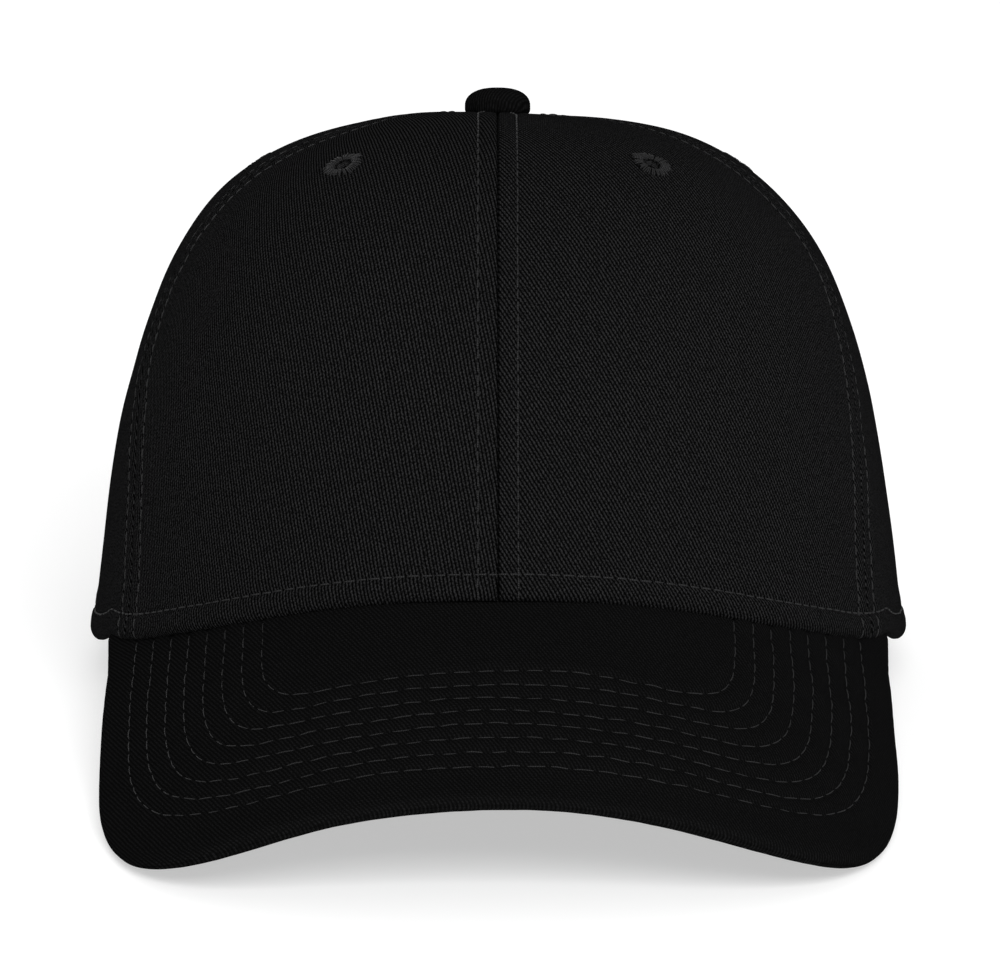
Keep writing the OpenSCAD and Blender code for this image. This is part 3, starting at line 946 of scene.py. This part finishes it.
def cover_grid(top):
    """Grid of one cloth cover, from under the hem to the edge and round half of the rim."""
    t = np.linspace(-1, 1, 301)
    share = np.linspace(0, 1, 110)[:, None]
    a = visor_flat(*hem_xy(VISOR_END * np.abs(t), HEM_TUCK))
    b = visor_outline(np.abs(t), RIM, RIM)
    c = visor_outline(np.abs(t), 0, 0)
    side = np.sign(t)
    across = blend(a[0], b[0], share) * side
    out = blend(a[1], b[1], share)
    face = 0.0 if top else VISOR_THICK
    sign = 1 if top else -1
    points = visor(across, out, face)
    points += sign * visor_up(across) * visor_lift(across, out, top)[..., None]
    turn = np.radians([18, 36, 54, 70, 82, 90, 97])[:, None]
    over = np.minimum(np.sin(turn), 1) - 0.16 * ease((turn - 1.3) / 0.4)
    rim_across = blend(b[0], c[0], over) * side
    rim_out = blend(b[1], c[1], over)
    below = face + sign * (VISOR_THICK / 2 - 0.08) * (1 - np.cos(np.minimum(turn, np.pi / 2)))
    rim_lift = visor_lift(b[0] * side, b[1], top) * np.cos(np.minimum(turn, np.pi / 2))
    edge = visor(rim_across, rim_out, below)
    edge += sign * visor_up(rim_across) * rim_lift[..., None]
    uv = columns(visor_girth(across), out)
    rim_uv = columns(visor_girth(rim_across), rim_out + 1.6 * turn / 1.5)
    across = np.concatenate([across, rim_across])
    return np.concatenate([points, edge]), across, np.concatenate([uv, rim_uv])


def build_cover(top):
    grid, across, uv = cover_grid(top)
    inner = grid - (1 if top else -1) * visor_up(across) * COVER_INSIDE
    keep = np.linspace(1, 0, 7)[:, None, None]
    inner[-7:] = blend(grid[-7:], inner[-7:], keep * 0.6 + 0.2)
    name = "visor_top_cover" if top else "visor_under_cover"
    obj = cloth_shell(name + "_cloth", grid, inner, uv, top)
    dress(obj, VISOR_TWILL, "twill", name)


def visor_row(row):
    """One row of stitching, from under the hem at one end to under it at the other."""
    front, side = row_insets(np.array(float(row)))
    turn = np.linspace(0, np.pi / 2, 160)
    k = section(turn, row_corner(row))
    across = (VISOR_HALF_SPAN - side) * np.sin(turn) * k
    out = VISOR_SHOULDER + (VISOR_DEPTH - VISOR_SHOULDER - front) * np.cos(turn) * k
    tail = np.linspace(0, 40, 40)[1:]
    across = np.concatenate([across, np.full_like(tail, across[-1])])
    out = np.concatenate([out, VISOR_SHOULDER - tail])
    at = visor(across, out, 0.0)
    beside = np.abs(at[:, :2] / (HALF_WIDTH, FRONT_REACH)) ** HEM_ROUNDNESS
    shown = (beside.sum(1) > 0.99) | (at[:, 1] < -FRONT_REACH)
    across, out = across[shown], out[shown]
    return np.concatenate([-across[::-1], across[1:]]), np.concatenate([out[::-1], out[1:]])


def sew_visor():
    for name, seed, face, sign in (
        ("visor_stitching", 41, 0.0, 1),
        ("visor_under_stitching", 42, VISOR_THICK, -1),
    ):
        thread = Thread(name, seed, 0.13)
        for row in range(ROWS_ON_VISOR):
            across, out = visor_row(row)
            up = visor_up(across) * sign
            path = visor(across, out, face) + up * visor_lift(across, out, sign > 0)[:, None]
            thread.row(path, up, 4.9, height=0.12, dip=0.3, tick=-0.3 * sign, gap=0.03, points=11)
        thread.build()


build_cover(True)
build_cover(False)
sew_visor()


# --- Bands that follow the wall: sweatband, piping, tapes, strap, label ---


def loop_section(low, high, outer_depth, thick, count):
    """Outline of a flat band with rounded edges, as heights and depths."""
    r = thick / 2
    turn = np.linspace(-np.pi / 2, np.pi / 2, 7)
    top = [(high - r + r * math.cos(a), outer_depth + r + r * math.sin(a)) for a in turn]
    bottom = [(low + r - r * math.cos(a), outer_depth + r - r * math.sin(a)) for a in turn]
    outward = [(h, outer_depth) for h in np.linspace(low + r, high - r, count)[1:-1]]
    inward = [(h, outer_depth + thick) for h in np.linspace(high - r, low + r, count)[1:-1]]
    return np.array(outward + top + inward + bottom)


def band(name, az, outline, depth_of=None, relief=None):
    """A closed band swept round the wall; outline is (height, depth) once round."""
    ring = np.concatenate([outline, outline[:1]])
    height, depth = ring[:, 0][None], ring[:, 1][None]
    shift = depth_of(az)[:, None] if depth_of else 0.0
    grid = wall(az[:, None], height, depth + shift)
    if relief:
        inward = unit(wall(az[:, None], height, depth + shift + 1) - grid)
        grid = grid + inward * relief(az[:, None], height, depth)[..., None]
    rows, cols = grid.shape[:2]
    run = arc_lengths(grid, 0)[:, :1]
    around = np.cumsum(np.linalg.norm(np.diff(ring, axis=0), axis=1))
    uv = columns(run, np.concatenate([[0], around])[None])
    faces = [grid_faces(rows, cols)]
    i = np.arange((cols - 1) // 2 - 1)
    cap = np.stack([i, i + 1, cols - 3 - i, cols - 2 - i], -1)
    faces += [cap[:, ::-1], cap + (rows - 1) * cols]
    return make_mesh(name, listed(grid), np.concatenate(faces), listed(uv), closed=True)


def line_on_wall(az, height, depth):
    """A line along the wall with its outward direction."""
    at = wall(az, height, depth)
    return at, unit(at - wall(az, height, depth + 1))


BAND_EDGE = math.pi - OPENING_HALF - math.radians(1)
BAND_TOP = 33.0
BAND_DEPTH = 3.0
BAND_THICK = 1.6
BAND_LINES = (30.5, 5.0)


def build_sweatband():
    az = np.linspace(-BAND_EDGE, BAND_EDGE, 420)
    outline = loop_section(0.6, BAND_TOP, BAND_DEPTH, BAND_THICK, 26)

    def soft(a, h, d):
        seen = columns(a * WALL_RADIUS, h, d * 5)
        line = 0.3 * sum(bump(h, at, 0.7) for at in BAND_LINES)
        inside = d > BAND_DEPTH + BAND_THICK / 2
        return np.where(inside, -line + 0.3 * DENT(seen) + 0.12 * PUCKER(seen), 0.0) * 0.8

    obj = band("sweatband_cloth", az, outline, relief=soft)
    dress(obj, BAND_CLOTH, "sweatband_cloth", "sweatband")
    edge = loop_section(BAND_TOP - 0.4, BAND_TOP + 3, BAND_DEPTH - 0.3, BAND_THICK + 0.6, 5)
    piping = band("sweatband_piping_cloth", az, edge)
    dress(piping, TRIM_TWILL, "binding", "sweatband_piping")
    thread = Thread("sweatband_stitching", 51, 0.19)
    for height in BAND_LINES:
        path, up = line_on_wall(az, height, np.full_like(az, BAND_DEPTH + BAND_THICK - 0.15))
        thread.row(path, -up, 3.0)
    thread.build()


def build_tape(seam, side, name):
    """Tape over a seam on the inside, sewn down along both sides."""
    up = np.linspace(math.radians(5 if seam < 3 else 46), math.radians(82), 90)
    az = seam_az(seam, up)
    spine = crown(az, up, 0.0)
    share = np.linspace(-1, 1, 17)
    half = TAPE_WIDTH / 2 / (np.hypot(spine[:, 0], spine[:, 1] - TOP_BACK) + 1)

    def face(depth, lift):
        at = crown(az[:, None] + half[:, None] * share, up[:, None], depth)
        middle = (az[:, None], up[:, None])
        inward = unit(crown(*middle, depth + 1) - crown(*middle, depth))
        drift = sway(mirrored(at, side), up[:, None])[..., None]
        return at + inward * (lift - drift)

    seen = face(TAPE_DEPTH + TAPE, 0.0)
    fold = -0.18 * (bump(share, -0.7, 0.1) + bump(share, 0.7, 0.1))[None, :, None]
    ripple = 0.07 * PUCKER(seen)[..., None]
    outer, inner = face(TAPE_DEPTH, 0.0), face(TAPE_DEPTH + TAPE, fold + ripple)
    uv = columns(arc_lengths(outer, 0)[:, :1], share * TAPE_WIDTH / 2)
    obj = sided_shell(name + "_cloth", outer, inner, uv, side)
    dress(obj, TAPE_CLOTH, "seam_tape", name)
    inner, inward = mirrored(inner, side), mirrored(unit(inner - outer), side)
    return [(inner[:, i], inward[:, i]) for i in (3, -4)]


def build_tapes():
    thread = Thread("tape_stitching", 52, 0.17)
    tapes = [
        (0, 1, "front_centre_tape"),
        (1, 1, "front_tape_left"),
        (1, -1, "front_tape_right"),
        (2, 1, "rear_tape_left"),
        (2, -1, "rear_tape_right"),
        (3, 1, "back_centre_tape"),
    ]
    for seam, side, name in tapes:
        for path, up in build_tape(seam, side, name):
            thread.row(path, up, 2.7)
    thread.build()


def build_buckram(side):
    """Stiff backing of a front panel, with its open weave."""
    v = np.linspace(math.radians(6), TOP_HOLE_UP, 70)[:, None]
    u = np.linspace(0.012, 0.988, 50)[None, :]
    az = panel_az(0, u, v)
    outer, inner = crown(az, v, BUCKRAM_DEPTH), crown(az, v, BUCKRAM_DEPTH + BUCKRAM)
    drift = unit(outer - inner) * sway(mirrored(outer, side), v)[..., None]
    outer, inner = outer + drift, inner + drift
    s, h = arc_lengths(outer, 1), arc_lengths(outer, 0)
    uv = columns(s - s[:, -1:] / 2, h)
    name = f"front_buckram_{SIDE_NAME[side]}"
    hole = (crown(*eyelet_angles(0), BUCKRAM_DEPTH + 0.3), BUCKRAM_HOLE)
    obj = sided_shell(name + "_cloth", outer, inner, uv, side, hole)
    dress(obj, BUCKRAM_CLOTH, "buckram", name)


ARCH_BINDING_WIDTH = 7.0


def build_arch_binding():
    """Tape along the edge of the back opening, on the inside, above the strap."""
    turns = np.linspace(-1, 1, 121) * math.radians(54)
    u = 1 - math.degrees(OPENING_HALF) * np.cos(np.pi / 2 - np.abs(turns)) / 60
    low = column_start(2, u)
    az = panel_az(2, u, low)
    side = np.where(turns < 0, -1, 1)
    share = np.linspace(0, 1, 9)[:, None]
    spread = share * ARCH_BINDING_WIDTH

    def face(depth):
        turned = az - spread * np.sin(np.abs(turns)) / BACK_REACH
        up = low + spread * np.cos(turns) / BACK_REACH
        at = mirrored(crown(turned, up, depth), side)
        outward = unit(at * np.array([1, 1, 0]) - np.array([0, TOP_BACK, 0]))
        return at + outward * sway(at, up)[..., None]

    outer, inner = face(BUCKRAM_DEPTH), face(1.8 + 0.05 * np.sin(share * np.pi))
    uv = columns(arc_lengths(inner, 1), spread)
    obj = cloth_shell("back_arch_binding_cloth", outer, inner, uv, True)
    dress(obj, TRIM_TWILL, "binding", "back_arch_binding")


STRAP_PITCH = 2.8
TAB_DEPTH = 1.6
TAB_LOOP_INSIDE = 1.32
BAR_PLACE = (-11, -3, 0)


def strap_depth(az):
    """The strap runs inside the wall, and comes out through the buckle."""
    return blend(1.5, -1.6, ease((np.degrees(az) - 168) / 17))


def build_strap():
    az = np.radians(np.linspace(147, 222, 260))
    low, high = STRAP_HEIGHT - STRAP_WIDTH / 2, STRAP_HEIGHT + STRAP_WIDTH / 2
    lines = (low + 2.2, high - 2.2)

    def soft(a, h, d):
        seen = columns(a * WALL_RADIUS, h, d * 8)
        sewn = 0.28 * sum(bump(h, line, 0.6) for line in lines)
        fold = -0.12 * (bump(h, low + 0.8, 0.9) + bump(h, high - 0.8, 0.9))
        face = np.where(d < 0.3, sewn + fold + 0.08 * PUCKER(seen), 0.0)
        return face - np.where(d > 0.9, sewn * 0.6, 0.0)

    outline = loop_section(low, high, 0.0, STRAP_THICK, 30)
    obj = band("back_strap_cloth", az, outline, strap_depth, soft)
    dress(obj, TRIM_TWILL, "strap_cloth", "back_strap")
    thread = Thread("strap_stitching", 61, 0.19)
    for height in lines:
        thread.row(*line_on_wall(az[2:-2], height, strap_depth(az[2:-2]) + 0.22), STRAP_PITCH)
    across = np.linspace(low + 2.4, high - 2.4, 30)
    for place in (221.2, 219.6):
        end = np.full_like(across, math.radians(place))
        thread.row(*line_on_wall(end, across, np.full_like(across, -1.52)), STRAP_PITCH)
    build_tab(thread)
    thread.build()


def build_tab(thread):
    """The short tab that holds the buckle, sewn with the strap's thread."""
    low, high = STRAP_HEIGHT - TAB_WIDTH / 2, STRAP_HEIGHT + TAB_WIDTH / 2
    az = np.radians(np.linspace(187.6, 212, 90))
    tab = band("strap_tab_cloth", az, loop_section(low, high, TAB_DEPTH, 1.0, 24))
    dress(tab, TRIM_TWILL, "strap_cloth", "strap_tab")
    for height in (low + 2, high - 2):
        thread.row(*line_on_wall(az, height, np.full_like(az, TAB_DEPTH - 0.05)), STRAP_PITCH)


def build_tab_loop():
    """The end of the tab, folded round the buckle's bar."""
    centre = wall(np.pi, STRAP_HEIGHT, 0.0)
    up = unit(wall(np.pi, STRAP_HEIGHT + 10, 0.0) - wall(np.pi, STRAP_HEIGHT - 10, 0.0))
    right = np.array([1.0, 0, 0])
    axes = np.stack([right, np.cross(up, right), up])
    turn = np.linspace(0, 2 * np.pi, 41)
    height = np.linspace(-TAB_WIDTH / 2, TAB_WIDTH / 2, 25)[:, None]
    grids = []
    for radius in (2.3 - 0.08 * bump(np.abs(height), 7.0, 0.6), TAB_LOOP_INSIDE):
        ring = columns(radius * np.cos(turn), radius * np.sin(turn), height)
        grids.append(centre + (ring + BAR_PLACE) @ axes)
    rows, cols = grids[0].shape[:2]
    uv = columns(turn * 2.3, height)
    i = np.arange(cols - 1)
    end = np.stack([i + 1, i, i + rows * cols, i + 1 + rows * cols], -1)
    faces = [grid_faces(rows, cols), grid_faces(rows, cols, rows * cols, True)]
    faces = np.concatenate([*faces, end, end[:, ::-1] + (rows - 1) * cols])
    obj = make_mesh("strap_tab_loop", listed(*grids), faces, listed(uv, uv), closed=True)
    dress(obj, TRIM_TWILL, "strap_cloth")


def build_keeper():
    """The cloth loop that holds the strap's free end."""
    half = STRAP_WIDTH / 2 + 1.8
    az = np.radians(np.linspace(212.5, 217.5, 16))
    turn_in = [[half + 0.6, 0.5], [half + 0.3, -1.4], [half - 0.4, -2.6], [half - 1.6, -2.95]]
    face = [[h, -3.0] for h in np.linspace(-half + 3, half - 3, 14)]
    outline = np.array([[-h, d] for h, d in turn_in] + face + turn_in[::-1])
    inside = outline * np.array([(half - 0.9) / half, 1.0]) + np.array([0, 0.85])
    outer, inner = [wall(az[None], STRAP_HEIGHT + p[:, :1], p[:, 1:]) for p in (outline, inside)]
    uv = columns(arc_lengths(outer, 1), arc_lengths(outer, 0))
    obj = cloth_shell("strap_keeper_cloth", outer, inner, uv)
    dress(obj, TRIM_TWILL, "strap_cloth", "strap_keeper")


def build_label():
    """A blank woven label sewn inside the sweatband."""
    az = np.radians(np.linspace(128, 146, 60))
    outline = loop_section(8, 28, BAND_DEPTH + 2, 0.4, 16)

    def soft(a, h, d):
        return 0.12 * PUCKER(columns(a * WALL_RADIUS, h, d) * 0.5) - 0.1

    obj = band("care_label_cloth", az, outline, relief=soft)
    dress(obj, LABEL_CLOTH, "label_cloth", "care_label")


build_sweatband()
build_tapes()
build_buckram(1)
build_buckram(-1)
build_arch_binding()
build_strap()
build_tab_loop()
build_keeper()
build_label()


# --- CAD parts that stay: better materials, same shapes ---


def finish_cad(material, *names):
    for name in names:
        mesh = frame["nodes"][name].data
        mesh.materials.clear()
        mesh.materials.append(material)


finish_cad(BUCKLE_METAL, "buckle_frame", "buckle_pin", "buckle_lever")
finish_cad(BUTTON_METAL, "top_button_shell", "top_button_prong")
finish_cad(BOARD_PLASTIC, "visor_board")


# --- Stage, light and camera ---


FLOOR_GLOW = 0.5
FLOOR_SHADE = (0.6, 0.6, 0.6)
SKY_STRENGTH = 0.55


def build_stage():
    bpy.ops.mesh.primitive_plane_add(size=30, location=(0, 0, 0))
    floor = bpy.context.object
    floor.name = "floor"
    s = Shader("floor_white")
    glow = {"Emission Color": (1, 1, 1, 1), "Emission Strength": FLOOR_GLOW}
    s.put(s.surface.inputs, glow)
    floor.data.materials.append(s.finish((*FLOOR_SHADE, 1), 0.9, specular=0.0))
    world = bpy.data.worlds.new("studio")
    world.use_nodes = True
    sky = world.node_tree.nodes["Background"].inputs
    sky["Color"].default_value = (1, 1, 1, 1)
    sky["Strength"].default_value = SKY_STRENGTH
    bpy.context.scene.world = world


def area_light(name, place, aim_y, size, watts):
    data = bpy.data.lights.new(name, "AREA")
    data.shape = "RECTANGLE"
    data.size, data.size_y = size
    data.energy = watts
    light = show(bpy.data.objects.new(name, data))
    light.location = place
    light.rotation_mode = "QUATERNION"
    aim = Vector((0, aim_y, 0.05))
    light.rotation_quaternion = (aim - Vector(place)).to_track_quat("-Z", "Y")


def build_lights():
    area_light("key", (0.25, -1.5, 1.1), 0, (0.9, 0.6), 26)
    area_light("back", (-0.7, 1.4, 0.55), 0.05, (0.9, 0.6), 7)
    area_light("fill", (1.3, -0.9, 0.6), 0, (0.8, 0.8), 4)


CAMERA_DISTANCE = 1.3
CAMERA_ELEVATION = math.radians(9.0) + REST_LEAN
LENS = 210.0
CAMERA_DIP = math.radians(0.712)
CAMERA_ROLL = math.radians(-0.07)
CAMERA_TARGET = np.array([0.0, 0.0, 44.8])
CAMERA_SHIFT = 0.002


def build_camera():
    data = bpy.data.cameras.new("camera")
    data.sensor_width = 36
    data.lens = LENS
    data.shift_x = CAMERA_SHIFT
    data.dof.use_dof = False
    data.clip_start = 0.01
    camera = show(bpy.data.objects.new("camera", data))
    back = Vector((0, -math.cos(CAMERA_ELEVATION), math.sin(CAMERA_ELEVATION)))
    target = Vector(to_row(CAMERA_TARGET[None])[0])
    look = Matrix.Rotation(-CAMERA_DIP, 3, "X") @ -back
    camera.location = target + back * CAMERA_DISTANCE
    camera.rotation_mode = "QUATERNION"
    turn = look.to_track_quat("-Z", "Y").to_matrix()
    camera.rotation_quaternion = (turn @ Matrix.Rotation(CAMERA_ROLL, 3, "Z")).to_quaternion()
    bpy.context.scene.camera = camera
    bpy.context.scene.view_settings.view_transform = "Standard"


build_stage()
build_lights()
build_camera()
